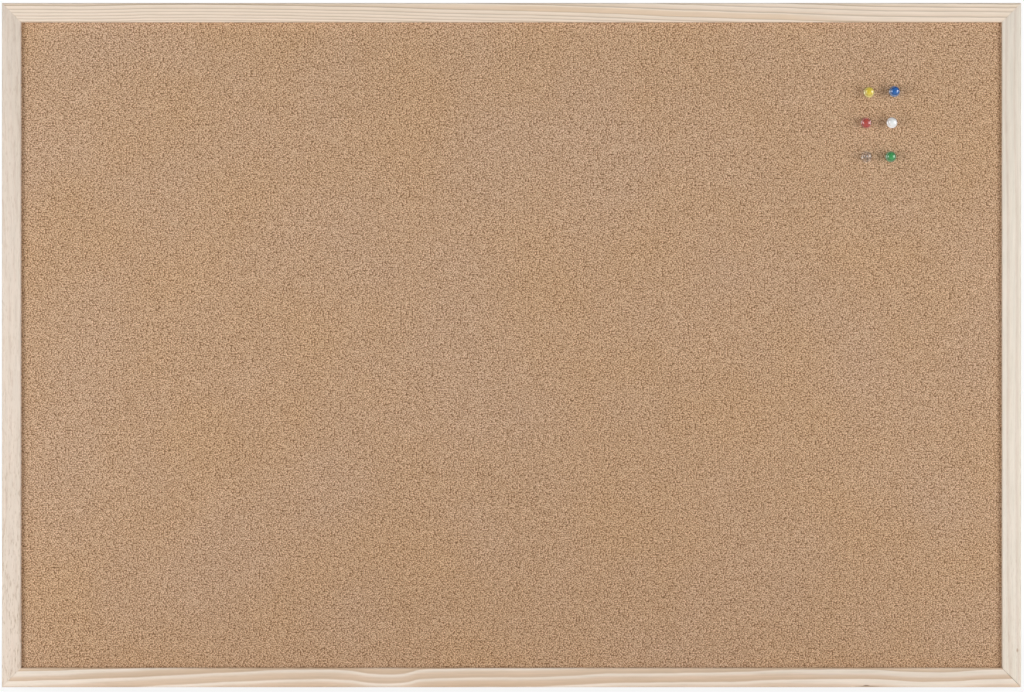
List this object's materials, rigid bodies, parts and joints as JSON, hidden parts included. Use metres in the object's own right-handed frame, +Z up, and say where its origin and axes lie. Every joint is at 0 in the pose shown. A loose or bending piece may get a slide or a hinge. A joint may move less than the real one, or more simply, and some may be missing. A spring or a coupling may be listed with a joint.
{
  "type": "cork pin board",
  "caption": "Wall-hung cork pin board: mitred pine frame round a cork-faced fibreboard panel, with pull-out push pins and swinging ring hangers on the back.",
  "frame": {"origin": "centre of the board on the plane of the frame's back, which lies against the wall", "axes": "+X to the right seen from the front, +Y back towards the wall, +Z up"},
  "size_m": [0.9, 0.0314, 0.604],
  "materials": {
    "pine": "satin",
    "cork": "matte",
    "fibreboard": "matte",
    "hardboard": "matte",
    "bright_steel": "satin",
    "plated_steel": "satin",
    "yellow_plastic": "gloss",
    "blue_plastic": "gloss",
    "red_plastic": "gloss",
    "white_plastic": "gloss",
    "clear_plastic": "gloss",
    "green_plastic": "gloss"
  },
  "bodies": {
    "board": {"top_rail": "pine", "right_stile": "pine", "bottom_rail": "pine", "left_stile": "pine", "cork_sheet": "cork", "fibre_core": "fibreboard", "hardboard_back": "hardboard", "v_nail_top_right_1": "bright_steel", "v_nail_top_right_2": "bright_steel", "v_nail_bottom_right_1": "bright_steel", "v_nail_bottom_right_2": "bright_steel", "v_nail_bottom_left_1": "bright_steel", "v_nail_bottom_left_2": "bright_steel", "v_nail_top_left_1": "bright_steel", "v_nail_top_left_2": "bright_steel", "panel_point_top_rail_1": "bright_steel", "panel_point_top_rail_2": "bright_steel", "panel_point_top_rail_3": "bright_steel", "panel_point_right_stile_1": "bright_steel", "panel_point_right_stile_2": "bright_steel", "panel_point_bottom_rail_1": "bright_steel", "panel_point_bottom_rail_2": "bright_steel", "panel_point_bottom_rail_3": "bright_steel", "panel_point_left_stile_1": "bright_steel", "panel_point_left_stile_2": "bright_steel", "left_hanger_strap": "plated_steel", "left_hanger_screw": "plated_steel", "right_hanger_strap": "plated_steel", "right_hanger_screw": "plated_steel"},
    "yellow_pin": {"yellow_pin_head": "yellow_plastic", "yellow_pin_needle": "bright_steel"},
    "blue_pin": {"blue_pin_head": "blue_plastic", "blue_pin_needle": "bright_steel"},
    "red_pin": {"red_pin_head": "red_plastic", "red_pin_needle": "bright_steel"},
    "white_pin": {"white_pin_head": "white_plastic", "white_pin_needle": "bright_steel"},
    "clear_pin": {"clear_pin_head": "clear_plastic", "clear_pin_needle": "bright_steel"},
    "green_pin": {"green_pin_head": "green_plastic", "green_pin_needle": "bright_steel"},
    "left_ring": {"left_hanger_ring": "plated_steel"},
    "right_ring": {"right_hanger_ring": "plated_steel"}
  },
  "joints": [
    {"name": "yellow_pin_pull", "type": "slide", "parent": "board", "child": "yellow_pin", "axis": [-0.0087, -0.9999, 0.0087], "range_m": [0, 0.025]},
    {"name": "blue_pin_pull", "type": "slide", "parent": "board", "child": "blue_pin", "axis": [-0.0087, -0.9999, -0.0087], "range_m": [0, 0.025]},
    {"name": "red_pin_pull", "type": "slide", "parent": "board", "child": "red_pin", "axis": [-0.0523, -0.9962, -0.0697], "range_m": [0, 0.025]},
    {"name": "white_pin_pull", "type": "slide", "parent": "board", "child": "white_pin", "axis": [0.0087, -0.9999, 0.0087], "range_m": [0, 0.025]},
    {"name": "clear_pin_pull", "type": "slide", "parent": "board", "child": "clear_pin", "axis": [0.0349, -0.998, 0.0523], "range_m": [0, 0.025]},
    {"name": "green_pin_pull", "type": "slide", "parent": "board", "child": "green_pin", "axis": [-0.0175, -0.9998, -0.0087], "range_m": [0, 0.025]},
    {"name": "left_ring_swing", "type": "hinge", "parent": "board", "child": "left_ring", "pos_m": [-0.4432, 0.0023, 0.182], "axis": [1, 0, 0], "range_deg": [0, 174]},
    {"name": "right_ring_swing", "type": "hinge", "parent": "board", "child": "right_ring", "pos_m": [0.4432, 0.0023, 0.182], "axis": [1, 0, 0], "range_deg": [0, 174]}
  ]
}
